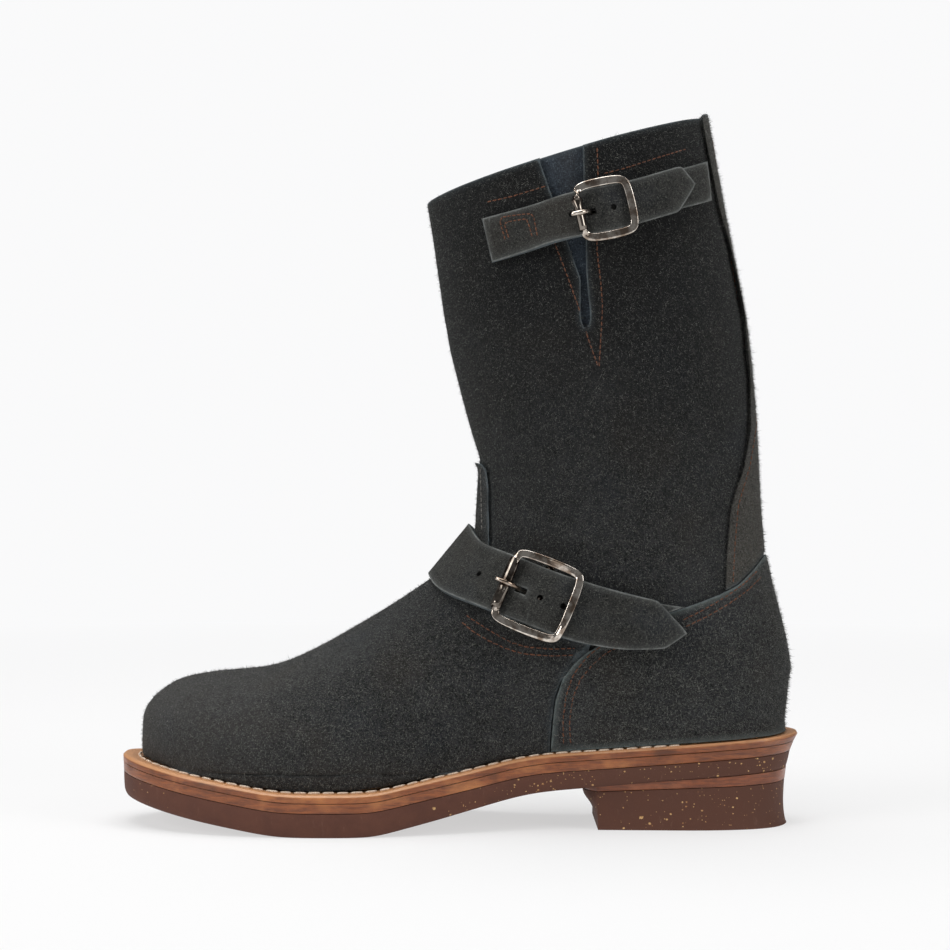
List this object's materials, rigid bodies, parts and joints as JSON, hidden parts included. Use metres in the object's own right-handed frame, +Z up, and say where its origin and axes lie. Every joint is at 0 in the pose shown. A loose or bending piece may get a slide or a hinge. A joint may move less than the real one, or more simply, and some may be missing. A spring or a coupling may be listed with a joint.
{
  "type": "engineer boot",
  "caption": "Tall pull-on leather work boot with a buckled strap over the instep and another at the collar, on a welted sole with a block heel.",
  "frame": {"origin": "on the floor, under the middle of the boot's bounding box", "axes": "+Z up, toe towards -X, heel towards +X, outer (lateral) side towards -Y, inner (medial) side towards +Y"},
  "size_m": [0.3018, 0.1242, 0.3139],
  "materials": {
    "gusset_leather": "smooth blue grey leather",
    "insole_leather": "smooth natural leather",
    "lift_leather": "waxed brown leather edge",
    "nickel": "polished nickel",
    "sole_rubber": "matt dark brown rubber with gold cork specks",
    "strap_leather": "charcoal roughout leather, brushed flat",
    "suede": "charcoal roughout leather with a short hairy nap",
    "welt_leather": "waxed orange brown leather edge"
  },
  "bodies": {
    "root": {"back_stay": "suede", "gusset": "gusset_leather", "heel_block": "sole_rubber", "heel_counter": "suede", "heel_lift": "lift_leather", "insole": "insole_leather", "instep_buckle_frame": "nickel", "instep_buckle_prong": "nickel", "instep_buckle_roller": "nickel", "instep_buckle_strap": "strap_leather", "instep_strap": "strap_leather", "midsole": "welt_leather", "outsole": "sole_rubber", "top_buckle_frame": "nickel", "top_buckle_prong": "nickel", "top_buckle_roller": "nickel", "top_buckle_strap": "strap_leather", "top_strap": "strap_leather", "upper": "suede", "welt": "welt_leather"}
  },
  "joints": []
}
